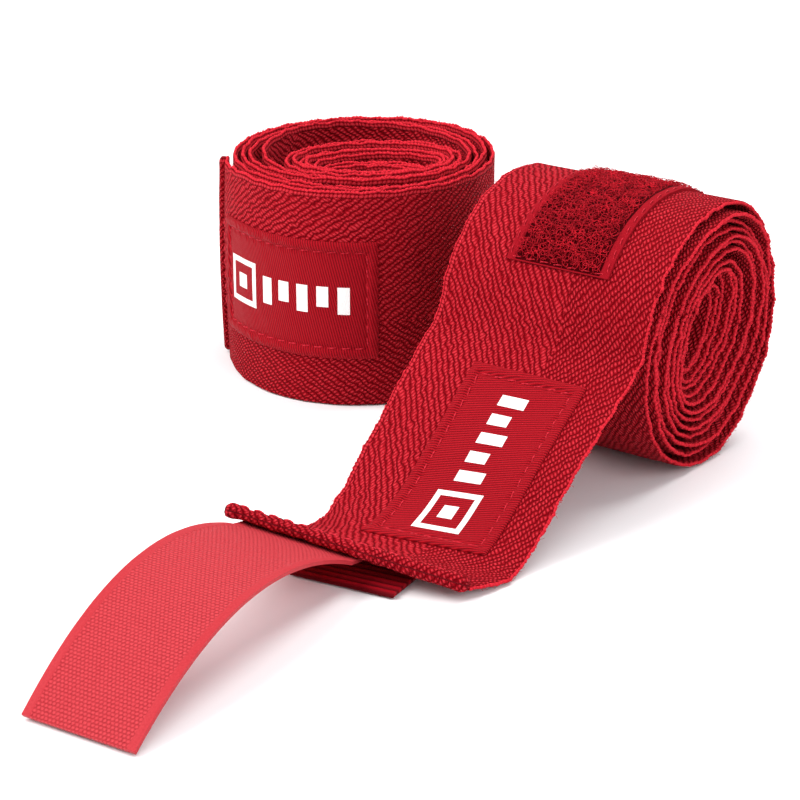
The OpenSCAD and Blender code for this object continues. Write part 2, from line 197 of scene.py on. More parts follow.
class Band:
    """A woven band on its ribbon. Its turns drift a little sideways and its selvedges ruffle.
    From the length settled on it lies still. The turns of the core are set aside by recess, and
    the end lies down by sink. A band that stands has a level lower edge. tuck is a dent in the
    left edge: (middle, half length, size)."""

    CORE = (60, 420)
    SETTLING = 60
    EDGE_REACH, RUFFLE, WOBBLE = 2.5, 0.2, 0.28
    END_SINKS, END_LOWERS = (45, 8), (26, 5)
    TUCK_W = 13

    def __init__(self, ribbon, seed, settled, drift, recess, stands=False, sink=0.0, tuck=None):
        self.ribbon, self.length = ribbon, ribbon.length
        self.settled, self.recess, self.stands, self.sink = settled, recess, stands, sink
        self.tuck = tuck
        self.drift, self.drift_size = Wave(seed, 90, 500, 7), drift
        self.ruffles = [Wave(seed + 1 + k, 5, 26, 12) for k in range(2)]
        self.wobbles = [Wave(seed + 5 + k, 4, 18, 10) for k in range(2)]

    def towards_end(self, d, places):
        """0 before the first place, 1 after the second, both counted back from the end."""
        return step_up(d, self.length - places[0], self.length - places[1])

    def at(self, d, w, h=0.0):
        d, w, h = np.broadcast_arrays(np.asarray(d, float), w, h)
        calm = np.clip((self.settled - d) / self.SETTLING, 0, 1)
        near = [np.exp(-w / self.EDGE_REACH), np.exp(-(BAND_W - w) / self.EDGE_REACH)]
        ruffle = sum(e(d) * n for e, n in zip(self.ruffles, near)) * self.RUFFLE
        wobble = sum(e(d) * n for e, n in zip(self.wobbles, near)) * self.WOBBLE
        core = 1 - step_up(d, *self.CORE)
        shift = self.drift(d) * self.drift_size * calm + self.recess * core
        if self.stands:
            shift = shift * (1 - w / BAND_W)
            wobble = wobble * (w < BAND_W / 2)
            lower = CLOSED_LOW * self.towards_end(d, self.END_LOWERS)
            shift = shift + lower * (1 - w / BAND_W)
        corner = 1 + (w / (BAND_W / 2) - 1) ** 2
        end = self.towards_end(d, self.END_SINKS) * self.sink * corner
        p = self.ribbon.at(d, w + shift + wobble, h + ruffle - end)
        if self.tuck:
            middle, half_length, size = self.tuck
            near = (np.exp(-((d - middle) / half_length) ** 2)
                    * np.clip(1 - w / self.TUCK_W, 0, 1) ** 1.5)
            p = p + near[..., None] * np.array([size, 0.0, 0.0])
        return p


# ---- Meshes ----

def add_mesh(name, points, quads, uv, material, sharp=None):
    """A mesh in metres from millimetre points, quads and one uv per point. An edge between two
    points that are marked sharp is a sharp edge."""
    points = np.asarray(points, float).reshape(-1, 3)
    faces = np.asarray(quads, np.int64).reshape(-1, 4)
    mesh = bpy.data.meshes.new(name)
    mesh.vertices.add(len(points))
    mesh.vertices.foreach_set("co", (points * MM).ravel())
    mesh.loops.add(faces.size)
    mesh.loops.foreach_set("vertex_index", faces.ravel())
    mesh.polygons.add(len(faces))
    mesh.polygons.foreach_set("loop_start", np.arange(len(faces)) * 4)
    mesh.polygons.foreach_set("use_smooth", np.ones(len(faces), bool))
    mesh.update(calc_edges=True)
    layer = mesh.uv_layers.new(name="weave")
    layer.data.foreach_set("uv", np.asarray(uv, float).reshape(-1, 2)[faces.ravel()].ravel())
    mesh.validate()
    if sharp is not None:
        ends = np.empty(len(mesh.edges) * 2, np.int32)
        mesh.edges.foreach_get("vertices", ends)
        ends = ends.reshape(-1, 2)
        mask = sharp[ends[:, 0]] & sharp[ends[:, 1]]
        mesh.attributes.new("sharp_edge", "BOOLEAN", "EDGE").data.foreach_set("value", mask)
    mesh.materials.append(material)
    obj = bpy.data.objects.new(name, mesh)
    bpy.context.scene.collection.objects.link(obj)
    return obj


def grid_quads(rows, cols, start=0, flip=False):
    """The quads of a grid of points, from the point start on."""
    i, j = np.meshgrid(np.arange(rows - 1), np.arange(cols - 1), indexing="ij")
    a = start + i * cols + j
    q = np.stack([a, a + 1, a + cols + 1, a + cols], -1).reshape(-1, 4)
    return q[:, ::-1] if flip else q


def cloth(name, place, ds, ws, low, high, material, uv_shift=(0, 0)):
    """A closed sheet over the grid ds by ws. place maps d, w, h to a point; low and high are
    the heights of its two faces, as numbers or functions of d and w."""
    d, w = np.meshgrid(ds, ws, indexing="ij")
    height = [x(d, w) if callable(x) else np.full(d.shape, float(x)) for x in (low, high)]
    rows, cols = d.shape
    points = np.concatenate([place(d, w, height[1]).reshape(-1, 3),
                             place(d, w, height[0]).reshape(-1, 3)])
    n = rows * cols
    border = np.concatenate([np.arange(cols - 1), np.arange(rows - 1) * cols + cols - 1,
                             n - 1 - np.arange(cols - 1), (rows - 1 - np.arange(rows - 1)) * cols])
    nxt = np.roll(border, -1)
    rim = np.stack([border, nxt, nxt + n, border + n], -1)
    quads = np.concatenate([grid_quads(rows, cols, 0, True), grid_quads(rows, cols, n), rim])
    uv = np.stack([w.ravel() + uv_shift[0], d.ravel() + uv_shift[1]], -1)
    sharp = np.zeros(2 * n, bool)
    sharp[border] = sharp[border + n] = True
    return add_mesh(name, points, quads, np.concatenate([uv, uv]), material, sharp)


def tubes(name, paths, radius, material, sides=5, uv=None):
    """Tubes along many paths of equal point count. paths is (tubes, points, 3)."""
    paths = np.asarray(paths, float)
    count, n, _ = paths.shape
    radius = np.broadcast_to(np.asarray(radius, float), (count, n))
    way = unit(np.gradient(paths, axis=1) + 1e-9)
    guess = np.where(np.abs(way[..., 2:3]) < 0.8, [0.0, 0.0, 1.0], [1.0, 0.0, 0.0])
    side = unit(np.cross(way, guess))
    up = np.cross(side, way)
    a = np.arange(sides) * 2 * np.pi / sides
    ring = (side[:, :, None] * np.cos(a)[:, None] + up[:, :, None] * np.sin(a)[:, None])
    points = paths[:, :, None] + ring * radius[:, :, None, None]
    t, i, k = np.meshgrid(np.arange(count), np.arange(n - 1), np.arange(sides), indexing="ij")
    base = (t * n + i) * sides
    quads = np.stack([base + k, base + sides + k, base + sides + (k + 1) % sides,
                      base + (k + 1) % sides], -1).reshape(-1, 4)
    flat_uv = np.repeat(np.stack([np.tile(np.arange(n) * 0.3, count),
                                  np.repeat(np.arange(count), n)], -1), sides, 0)
    return add_mesh(name, points, quads, flat_uv if uv is None else uv, material)


def evenly(start, stop, step):
    """Numbers from start to stop, about a step apart."""
    return np.linspace(start, stop, max(2, int(round(abs(stop - start) / step)) + 1))


def bordered(start, stop, edge, inset, step):
    """Numbers from start to stop: at the places in edge from both ends, and evenly between."""
    edge = np.array(edge, float)
    return np.concatenate([start + edge, evenly(start + inset, stop - inset, step),
                           (stop - edge)[::-1]])


def widths(total, edge=(0, 0.35, 0.9, 1.7, 2.8), inset=4.2, step=2.0):
    """Places across a band: close together near the selvedges."""
    return bordered(0, total, edge, inset, step)


def stitch_run(place, start, stop, lift, lean):
    """Paths of the stitches of one seam between two (d, w) places: each dives in at its ends."""
    start, stop = np.array(start, float), np.array(stop, float)
    total = np.linalg.norm(stop - start)
    way = (stop - start) / total
    side = np.array([-way[1], way[0]])
    count = max(1, int(total / STITCH_PITCH))
    paths = []
    for k in range(count):
        mid = start + way * total * (k + 0.5) / count
        t = np.array([-0.5, -0.42, -0.22, 0, 0.22, 0.42, 0.5])
        h = np.array([-0.35, 0.02, 0.15, 0.2, 0.15, 0.02, -0.35]) + lift
        at = mid + np.outer(t * STITCH_L, way) + np.outer(t * lean, side)
        paths.append(place(at[:, 0], at[:, 1], h))
    return paths


def seam_round(place, d0, d1, w0, w1, inset, lift):
    """Paths of the stitches of a seam inside the border of a rectangle."""
    corners = [(d0 + inset, w0 + inset), (d1 - inset, w0 + inset),
               (d1 - inset, w1 - inset), (d0 + inset, w1 - inset)]
    paths = []
    for a, b in zip(corners, corners[1:] + corners[:1]):
        paths += stitch_run(place, a, b, lift, lean=0.25)
    return paths


# ---- Materials ----

def rgb(r, g, b):
    return (r, g, b, 1.0)


RED_TINT, WHITE_TINT = rgb(1.0, 0.18, 0.22), rgb(1.0, 1.0, 1.0)


class Nodes:
    """A short way to write shader maths. A value is a number, a colour or a socket."""

    def __init__(self, name, rough, sheen=0.0, specular=0.3, tint=RED_TINT):
        self.material = bpy.data.materials.new(name)
        self.material.use_nodes = True
        self.tree = self.material.node_tree
        self.shader = self.tree.nodes["Principled BSDF"]
        self.shader.inputs["Roughness"].default_value = rough
        self.shader.inputs["Specular IOR Level"].default_value = specular
        self.shader.inputs["Sheen Weight"].default_value = sheen
        self.shader.inputs["Sheen Tint"].default_value = tint
        self.shader.inputs["Specular Tint"].default_value = tint

    def new(self, kind, **settings):
        node = self.tree.nodes.new(kind)
        for key, value in settings.items():
            setattr(node, key, value)
        return node

    def put(self, socket, value):
        if isinstance(value, (int, float, tuple)):
            socket.default_value = value
        else:
            self.tree.links.new(value, socket)

    def math(self, operation, *values, clamp=False):
        node = self.new("ShaderNodeMath", operation=operation, use_clamp=clamp)
        for socket, value in zip(node.inputs, values):
            self.put(socket, value)
        return node.outputs[0]

    def add(self, a, b):
        return self.math("ADD", a, b)

    def sub(self, a, b):
        return self.math("SUBTRACT", a, b)

    def mul(self, a, b):
        return self.math("MULTIPLY", a, b)

    def div(self, a, b):
        return self.math("DIVIDE", a, b)

    def mul_add(self, a, b, c):
        """a times b, plus c."""
        return self.math("MULTIPLY_ADD", a, b, c)

    def cell(self, x):
        """The place in a cell of width 1, from -0.5 to 0.5."""
        return self.sub(self.math("FRACT", x), 0.5)

    def uv(self):
        node = self.new("ShaderNodeSeparateXYZ")
        self.put(node.inputs[0], self.new("ShaderNodeUVMap", uv_map="weave").outputs[0])
        return node.outputs[0], node.outputs[1]

    def vector(self, x, y):
        node = self.new("ShaderNodeCombineXYZ")
        for socket, value in zip(node.inputs, (x, y)):
            self.put(socket, value)
        return node.outputs[0]

    def noise(self, vector, scale, detail):
        node = self.new("ShaderNodeTexNoise")
        self.put(node.inputs["Vector"], vector)
        node.inputs["Scale"].default_value = scale
        node.inputs["Detail"].default_value = detail
        return node.outputs[0]

    def fibre(self, w, d, by_w, by_d):
        """Fine noise with a scale of its own across and along."""
        return self.noise(self.vector(self.mul(w, by_w), self.mul(d, by_d)), 1.0, 3.0)

    def mix(self, factor, a, b):
        node = self.new("ShaderNodeMix", data_type="RGBA")
        for socket, value in zip((node.inputs[0], node.inputs[6], node.inputs[7]), (factor, a, b)):
            self.put(socket, value)
        return node.outputs[2]

    def finish(self, color, height, strength, depth):
        """The material with its colour and a bump of this strength and depth."""
        bump = self.new("ShaderNodeBump")
        bump.inputs["Strength"].default_value = strength
        bump.inputs["Distance"].default_value = depth * MM
        self.put(bump.inputs["Height"], height)
        self.put(self.shader.inputs["Base Color"], color)
        self.put(self.shader.inputs["Normal"], bump.outputs[0])
        return self.material

    def grain(self, across, along, twist, half_w, half_l):
        """Height of one oval grain in a cell, from 0 at its rim to 1 on top."""
        s, c = sin_cos(twist)
        x = self.sub(self.mul(across, c), self.mul(along, s))
        y = self.add(self.mul(across, s), self.mul(along, c))
        x = self.div(x, half_w)
        y = self.div(y, half_l)
        d = self.add(self.mul(x, x), self.mul(y, y))
        return self.math("POWER", self.math("SUBTRACT", 1.0, d, clamp=True), 0.6)


def woven_red():
    """Herringbone: rows of knots whose slant turns back along one line of the band.
    Near the selvedges the knots stand in plain columns along the band."""
    n = Nodes("woven_red", 0.85, sheen=0.05, specular=0.07)
    w, d = n.uv()
    slant, turn_line, row_pitch, knot_pitch = math.radians(34), 30.5, 1.24, 0.82
    rib_pitch, rib_middle, rib_from = 1.12, 26.2, 25.1
    warp = n.mul(n.sub(n.noise(n.vector(w, d), 0.5, 4.0), 0.5), 1.5)
    a = n.add(n.math("ABSOLUTE", n.sub(w, turn_line)), warp)
    length = n.add(d, warp)

    across = n.add(n.mul(a, math.cos(slant)), n.mul(length, math.sin(slant)))
    along = n.sub(n.mul(a, math.sin(slant)), n.mul(length, math.cos(slant)))
    across = n.div(across, row_pitch)
    row = n.math("FLOOR", across)
    along = n.add(n.div(along, knot_pitch), n.mul(row, 0.5))
    off = n.cell(across)
    cord = n.sub(1.0, n.math("POWER", n.math("ABSOLUTE", n.mul(off, 2.0)), 2.0))
    uneven = n.math("SINE", n.mul(row, 2.4))
    along = n.mul_add(uneven, 1.6, along)
    strand = n.add(along, n.mul(off, 0.6))
    strand = n.math("ABSOLUTE", n.math("SINE", n.mul(strand, math.pi)))
    knotty = n.mul_add(n.math("GREATER_THAN", w, turn_line), 0.26, 0.5)
    twill = n.mul(cord, n.mul_add(n.sub(strand, 1.0), knotty, 1.0))

    across = n.div(w, rib_pitch)
    row = n.math("FLOOR", across)
    along = n.add(n.div(length, KNOT_PITCH), n.mul(row, 0.5))
    rib = n.grain(n.cell(across), n.cell(along), 20, 0.46, 0.7)
    from_middle = n.math("ABSOLUTE", n.sub(w, rib_middle))
    at_edge = n.math("GREATER_THAN", n.add(from_middle, warp), rib_from)
    height = n.add(n.mul(rib, at_edge), n.mul(twill, n.sub(1.0, at_edge)))

    fibre = n.fibre(w, d, 7.0, 4.0)
    mottle = n.noise(n.vector(w, d), 0.14, 3.0)
    # Painted shade: the colour follows the weave's height, near black in the hollows between the
    # knots.
    color = n.mix(n.math("POWER", height, 1.2), rgb(0.10, 0.0, 0.002), rgb(0.56, 0.008, 0.018))
    # Painted highlight: the tops of the knots turn lighter where the fibre noise is high.
    painted_tip_highlight = n.mul(n.math("POWER", height, 4.0), fibre)
    color = n.mix(n.mul(painted_tip_highlight, 0.8), color, rgb(0.84, 0.09, 0.12))
    color = n.mix(n.mul(mottle, 0.4), color, rgb(0.30, 0.0006, 0.005))
    return n.finish(color, n.add(height, n.mul(fibre, 0.3)), 1.0, 0.5)


def selvedge_red():
    """The cords on a band's edges: one knot after another."""
    n = Nodes("selvedge_red", 0.85, sheen=0.05, specular=0.07)
    w, d = n.uv()
    fibre = n.fibre(w, d, 6.0, 6.0)
    knots = n.math("ABSOLUTE", n.math("SINE", n.mul(d, math.pi / KNOT_PITCH)))
    height = n.mul(n.mul_add(knots, 0.45, 0.55), n.mul_add(fibre, 0.8, 0.35))
    # Painted shade between the cord's knots and painted highlight on their tops: the colour
    # follows the height.
    color = n.mix(height, rgb(0.14, 0.0, 0.003), rgb(0.84, 0.03, 0.05))
    return n.finish(color, height, 0.9, 0.22)


def satin_red():
    """The label: fine threads that run across it with a slight slant."""
    n = Nodes("satin_red", 0.6, sheen=0.04, specular=0.12)
    w, d = n.uv()
    slant = n.add(n.mul(d, 1.7), n.mul(w, 0.42))
    thread = n.math("SINE", n.mul(slant, 2 * math.pi))
    fibre = n.fibre(w, d, 2.2, 8.0)
    height = n.add(n.mul(thread, 0.5), n.mul(fibre, 0.6))
    # Painted shade: the colour darkens between the slanted threads, as their height does.
    color = n.mix(n.mul_add(thread, 0.5, 0.5), rgb(0.10, 0.0, 0.002), rgb(0.41, 0.004, 0.011))
    color = n.mix(n.mul(fibre, 0.3), color, rgb(0.50, 0.02, 0.032))
    return n.finish(color, height, 0.8, 0.16)


def print_white():
    """The print on the label, with the label's threads faint in it."""
    n = Nodes("print_white", 0.6, tint=WHITE_TINT)
    w, d = n.uv()
    slant = n.add(n.mul(d, 2.7), n.mul(w, 0.55))
    thread = n.math("SINE", n.mul(slant, 2 * math.pi))
    # Faint painted shade between the label's threads on the white print.
    color = n.mix(n.mul_add(thread, 0.2, 0.5), rgb(0.86, 0.80, 0.78), rgb(0.97, 0.95, 0.93))
    return n.finish(color, thread, 0.25, 0.06)


def thread_red():
    """Sewing thread, with its twist."""
    n = Nodes("thread_red", 0.6, sheen=0.05, specular=0.25)
    w, d = n.uv()
    ply = n.math("SINE", n.mul(n.add(w, d), 9.0))
    # Painted shade in the grooves of the twist: the colour darkens with the plies.
    color = n.mix(n.mul_add(ply, 0.3, 0.5), rgb(0.34, 0.004, 0.012), rgb(0.66, 0.03, 0.05))
    return n.finish(color, ply, 0.4, 0.06)


def pile_red():
    """The loops of the loop patch, lighter and darker in clumps."""
    n = Nodes("pile_red", 0.6, sheen=0.03, specular=0.15)
    w, d = n.uv()
    clumps = n.mul_add(n.noise(n.vector(w, d), 0.35, 3.0), 1.6, 0.15)
    tone = n.mul(n.noise(n.vector(w, d), 2.2, 2.0), clumps)
    color = n.mix(n.math("POWER", tone, 1.2), rgb(0.05, 0.0, 0.001), rgb(0.98, 0.020, 0.042))
    return n.finish(color, tone, 0.2, 0.05)


def hook_tape_red():
    """Woven nylon tape: fine knots in rows with painted glints here and there, and plain
    selvedges.
    """
    n = Nodes("hook_tape_red", 0.5, sheen=0.08, specular=0.25)
    w, d = n.uv()
    row_pitch, knot_pitch = 0.74, 0.86
    row = n.div(d, row_pitch)
    shift = n.mul(n.math("FLOOR", row), 0.5)
    a = n.add(n.div(w, knot_pitch), shift)
    height = n.grain(n.cell(a), n.cell(row), 18, 0.5, 0.48)
    glint = n.fibre(w, d, 2.4, 2.4)
    patchy = n.noise(n.vector(w, n.mul(d, 0.5)), 0.35, 3.0)
    from_middle = n.math("ABSOLUTE", n.sub(w, TAPE_W / 2))
    middle = n.math("LESS_THAN", from_middle, TAPE_W / 2 - TAPE_EDGE)
    # Painted shade between the knots, and painted glints from the glint noise on the knots and the
    # selvedges.
    knots = n.mul(n.add(height, n.mul(glint, 1.2)), 0.5)
    plain = n.mul_add(glint, 0.6, 0.08)
    tone = n.add(n.mul(knots, middle), n.mul(plain, n.sub(1.0, middle)))
    color = n.mix(tone, rgb(0.28, 0.006, 0.011), rgb(0.66, 0.065, 0.078))
    color = n.mix(n.mul(patchy, 0.3), color, rgb(0.43, 0.018, 0.028))
    bumps = n.mul(n.add(height, glint), middle)
    return n.finish(color, n.add(bumps, n.mul(glint, 0.3)), 0.9, 0.2)


def loop_tape_red():
    """The ground of the loop patch: painted shade, near black, under its pile, and lighter and
    felted on its selvedges.
    """
    n = Nodes("loop_tape_red", 0.8, sheen=0.04, specular=0.06)
    w, d = n.uv()
    fibre = n.fibre(w, d, 5.0, 3.0)
    side = n.math("GREATER_THAN", n.math("ABSOLUTE", w), TAPE_W / 2 - PATCH_EDGE)
    edge = n.mix(fibre, rgb(0.15, 0.0006, 0.004), rgb(0.40, 0.010, 0.019))
    # Painted shade: the ground under the pile is near black.
    color = n.mix(side, rgb(0.045, 0.0, 0.001), edge)
    return n.finish(color, fibre, 0.7, 0.14)


def ribbed_tape_red():
    """The short tape under the hem: light ribs with painted shade between them, and dark all over
    as painted shadow of the hook strip above it.
    """
    n = Nodes("ribbed_tape_red", 0.7, specular=0.15)
    w, d = n.uv()
    wave = n.math("SINE", n.mul_add(d, math.pi, -math.pi / 2))
    fibre = n.fibre(w, d, 3.0, 6.0)
    # Painted shade between the ribs; both colours are kept dark as painted shadow of the strip.
    color = n.mix(n.mul_add(wave, 0.5, 0.5), rgb(0.04, 0.0, 0.001), rgb(0.32, 0.003, 0.009))
    color = n.mix(n.mul(fibre, 0.3), color, rgb(0.38, 0.010, 0.020))
    return n.finish(color, fibre, 0.6, 0.1)


WOVEN = woven_red()
SELVEDGE = selvedge_red()
SATIN = satin_red()
PRINT = print_white()
THREAD = thread_red()
PILE = pile_red()
HOOK_TAPE = hook_tape_red()
LOOP_TAPE = loop_tape_red()
RIBBED_TAPE = ribbed_tape_red()


# ---- Places ----

def open_points(plane, x):
    """Points of the open roll's rolling plane, at a place x across it."""
    return np.stack([np.full(len(plane), x), plane[:, 0], plane[:, 1]], -1)


def closed_points(plane, w):
    """Points of the closed roll's rolling plane, at a depth w below its top."""
    s, c = sin_cos(CLOSED_TURNED)
    x = CLOSED_AT[0] + plane[:, 0] * c + plane[:, 1] * s
    y = CLOSED_AT[1] + plane[:, 0] * s - plane[:, 1] * c
    return np.stack([x, y, np.full(len(plane), BAND_W - w)], -1)


def turn(axis, angle):
    """The matrix of a turn about one of the axes."""
    s, c = sin_cos(angle)
    return np.array({"x": [[1, 0, 0], [0, c, -s], [0, s, c]],
                     "y": [[c, 0, s], [0, 1, 0], [-s, 0, c]],
                     "z": [[c, -s, 0], [s, c, 0], [0, 0, 1]]}[axis])


HEM_TURN = turn("z", HEM_SKEW) @ turn("y", HEM_TILT) @ turn("x", -HEM_PITCH)


def from_hem(points):
    """Points in the hem's frame (along it, back, up), in the part's frame."""
    return np.asarray(points, float) @ HEM_TURN.T + HEM_AT


OPEN_GAPS = ((0.42, 0.50, 0.92, (0.42, 0.05, 0.0, 0.18)),
             (0.12, 0.18, 0.4, (0.5, 0.1, 0.0, 0.0)))
OPEN_DENTS = ((-46, 20, -0.055), (62, 26, 0.012))
CLOSED_GAPS = ((0.62, 0.68, 0.99, (0.10, 0.0, 0.32, 0.34)),
               (0.2, 0.26, 0.6, (0.3, 0.0, 0.1, 0.06)))
CLOSED_DENTS = ((60, 30, -0.010), (-122, 34, 0.045))
open_plane = coil(OPEN_CORE, OPEN_OUTER, OPEN_TURNS, OPEN_LEAN, OPEN_END, OPEN_GAPS, OPEN_DENTS)
open_z = float(CAD_HALF - open_plane[:, 1].min())
open_plane += [OPEN_Y, open_z]
roll_left = open_points(open_plane, OPEN_X)
roll_right = open_points(open_plane, OPEN_X + BAND_W)


def tail_edge(x, hem_x, drops):
    """One edge of the let-out end, from the roll to the back of the hem. drops are (distance in
    front of the roll's axis, height)."""
    path = [[x, OPEN_Y - y, z] for y, z in drops] + [from_hem([hem_x, -1.0, 0.0])]
    first = open_plane[-1]
    return smooth_path([[x, first[0], first[1]]] + path, 24)[1:]


tail_left = tail_edge(OPEN_X, 0.0, [(30.4, 30.2), (36.4, 25.6), (44.4, 18.8), (54.0, 10.6),
                                    (64.0, 3.5), (73.5, 0.75), (82.0, 1.0), (90.0, 3.6)])
tail_right = tail_edge(OPEN_X + BAND_W, BAND_W, [(29.8, 30.4), (36.6, 25.6), (44.4, 20.6),
                                                 (53.4, 14.8), (61.6, 8.6), (68.4, 3.6),
                                                 (74.0, 1.0), (79.0, 0.75)])
roll_end = float(np.linalg.norm(np.diff(open_plane, axis=0), axis=1).sum())
open_ribbon = Ribbon(np.vstack([roll_left, tail_left]), np.vstack([roll_right, tail_right]),
                     BAND_W)
open_band = Band(open_ribbon, seed=11, settled=roll_end - 40, drift=1.4, recess=-3.6,
                 tuck=(roll_end + 60.0, 13.0, 4.0))

closed_plane = coil(CLOSED_CORE, CLOSED_OUTER, CLOSED_TURNS, 0, CLOSED_END, CLOSED_GAPS,
                    CLOSED_DENTS)
closed_ribbon = Ribbon(closed_points(closed_plane, 0), closed_points(closed_plane, BAND_W),
                       BAND_W)
closed_band = Band(closed_ribbon, seed=31, settled=closed_ribbon.length - 60, drift=1.5,
                   recess=2.0, stands=True, sink=0.55)


def keep(obj, on, replaces=()):
    """Puts an object on its body and hides the CAD nodes that it stands for. When on is a blend,
    the two bodies, start and end, are not used: the object's transform is only baked in."""
    if isinstance(on, tuple):
        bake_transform(obj)
    else:
        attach(obj, on)
    if replaces:
        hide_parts(*replaces)
    return obj


def metres(p):
    return tuple(float(x) * MM for x in p)


TAIL_BLEND = ("open_roll", "open_tail", metres((0, OPEN_Y - 29.8, 30)),
              metres((0, OPEN_Y - 35, 30)))


# ---- Bands, selvedges ----

def woven_band(name, band, on, nodes, stop=0.0):
    """The cloth of a band: it thins towards its selvedges, and is a little uneven."""
    thick = BAND_T / 2
    wave = Wave(77, 3, 30, 8)

    def face(sign):
        return lambda d, w: sign * (thick - 0.06 * np.exp(-np.minimum(w, BAND_W - w) / 1.5)
                                    + 0.02 * wave(d * 0.9 + w * 0.7))
    return keep(cloth(name, band.at, evenly(0, band.length - stop, 1.0), widths(BAND_W),
                      face(-1), face(1), WOVEN), on, nodes)


def selvedges(name, band, on, stop=0.0):
    """The two edge cords of a band: weft loops that stand out a little, one after another. A
    band that stands has its lower cord further in, clear of the floor."""
    d = np.arange(0, band.length - stop, 0.33)
    jitter = Wave(91, 1.5, 9, 12)
    loop = 0.5 + 0.5 * np.sin(2 * np.pi * (d + 0.7 * jitter(d)) / KNOT_PITCH)
    out = 0.05 + 0.2 * loop + 0.14 * jitter(3 * d)
    under = -0.55 if band.stands else 0.0
    paths = [band.at(d, -out, 0.16 * jitter(d)),
             band.at(d, BAND_W + out + under, 0.16 * jitter(d + 40))]
    radius = np.tile(0.32 + 0.05 * loop + 0.05 * jitter(0.37 * d), (2, 1))
    uv = np.repeat(np.concatenate([np.stack([0 * d, d], -1), np.stack([0 * d + 1, d], -1)]), 6, 0)
    keep(tubes(name, paths, radius, SELVEDGE, sides=6, uv=uv), on)


def fuzz(name, band, on, seed):
    """Short loose fibres along both selvedges."""
    r = np.random.default_rng(seed)
    count, last_d = (3200, 1), band.length - 3.0
    t = np.linspace(0, 1, 4)[None, :]
    d = r.uniform(0, last_d, count)
    right = r.random(count) < 0.5
    out = r.uniform(0.4, 0.9, count) * t + 0.2
    d = np.clip(d + r.normal(0, 0.4, count) * t ** 2, 0, last_d)
    h = r.normal(0, 0.3, count) + r.normal(0, 0.25, count) * t ** 2
    w = np.where(right, BAND_W + out, -out)
    paths = band.at(d, w, h)
    clear = paths[..., 2].min(1) > 0.1
    uv = np.repeat(np.stack([w[clear].ravel(), (d + 0 * t)[clear].ravel()], -1), 3, 0)
    keep(tubes(name, paths[clear], 0.035, SELVEDGE, sides=3, uv=uv), on)


open_cloth = woven_band("open_band", open_band, TAIL_BLEND,
                        ["open_band_roll", "open_band_tail"])
selvedges("open_selvedges", open_band, TAIL_BLEND)
closed_cloth = woven_band("closed_band", closed_band, "closed_wrap", ["closed_band_roll"],
                          CLOSED_CUT)
selvedges("closed_selvedges", closed_band, "closed_wrap", CLOSED_CUT)
fuzz("open_fuzz", open_band, TAIL_BLEND, 13)
fuzz("closed_fuzz", closed_band, "closed_wrap", 14)


# ---- Hems ----

def hem_section():
    """The rolled hem's outline, seen along it: a soft flat roll, open at its back."""
    a = np.linspace(-math.pi, math.pi, 40, endpoint=False)
    r = HEM_HEIGHT / 2
    y = -HEM_DEPTH / 2 + (HEM_DEPTH / 2) * np.sign(np.cos(a)) * np.abs(np.cos(a)) ** 0.75
    z = r - CAD_HALF + r * np.sign(np.sin(a)) * np.abs(np.sin(a)) ** 0.8
    return y, z


def hem(name, place, body, nodes, thick, thicker, lumps):
    """A hem along x from 0 to the band's width. place maps (x, back, up) to the part's frame.
    It is thick at first and thicker at its other end."""
    xs = bordered(0, BAND_W, (-0.2, 0.3), 1.0, 0.8)
    y, z = hem_section()
    swell = Wave(51, 3, 14, 8)
    size = thick + (thicker - thick) * step_up(xs, 18, 42) + lumps * swell(xs)
    size += 2.5 * lumps * np.exp(-(xs / 2.2) ** 2)
    size[[0, -1]] *= 0.55
    size[[1, -2]] *= 0.9
    mid_y, mid_z = -HEM_DEPTH / 2, HEM_HEIGHT / 2 - CAD_HALF
    lump = lumps * Wave(52, 2, 8, 8)(xs[:, None] + 3.0 * np.arange(len(y))[None, :])
    yy = mid_y + (y - mid_y)[None, :] * (size[:, None] + lump)
    zz = mid_z + (z - mid_z)[None, :] * (size[:, None] + lump)
    crease = np.exp(-((z[None, :] - 1.9) ** 2 / 0.1 + (y[None, :] + 0.8) ** 2 / 0.2))
    zz = zz - 0.25 * crease
    xx = np.repeat(xs[:, None], len(y), 1)
    points = place(np.stack([xx, yy, zz], -1).reshape(-1, 3))
    rows, cols = xx.shape
    i, j = np.meshgrid(np.arange(rows - 1), np.arange(cols), indexing="ij")
    a = i * cols + j
    b = i * cols + (j + 1) % cols
    quads = np.stack([a, b, b + cols, a + cols], -1).reshape(-1, 4)
    half = cols // 2
    caps = []
    for row, order in ((0, -1), (rows - 1, 1)):
        k = np.arange(half - 1)
        ring = row * cols
        cap = np.stack([ring + k, ring + k + 1, ring + cols - 2 - k, ring + cols - 1 - k], -1)
        caps.append(cap[:, ::order])
    around = np.cumsum(np.hypot(np.diff(y, append=y[:1]), np.diff(z, append=z[:1])))
    uv = np.stack([xx, np.repeat(around[None, :], rows, 0)], -1).reshape(-1, 2)
    obj = add_mesh(name, points, np.concatenate([quads] + caps), uv, WOVEN)
    return keep(obj, body, nodes)


def closed_hem_place(points):
    """The closed wrap's hem frame: x across the band, back along it, up outwards."""
    p = np.asarray(points, float)
    d = closed_band.length - HEM_DEPTH - p[:, 1]
    sink = closed_band.sink * (1 + (p[:, 0] / (BAND_W / 2) - 1) ** 2)
    w = CLOSED_LOW + CLOSED_HEM_SHARE * p[:, 0]
    return closed_ribbon.at(d, w, p[:, 2] - sink)


hem("open_hem", from_hem, "open_tail", ["open_end_hem"], 0.8, 1.03, 0.08)
hem("closed_hem", closed_hem_place, "closed_wrap", ["closed_end_hem"], 0.66, 0.66, 0.02)


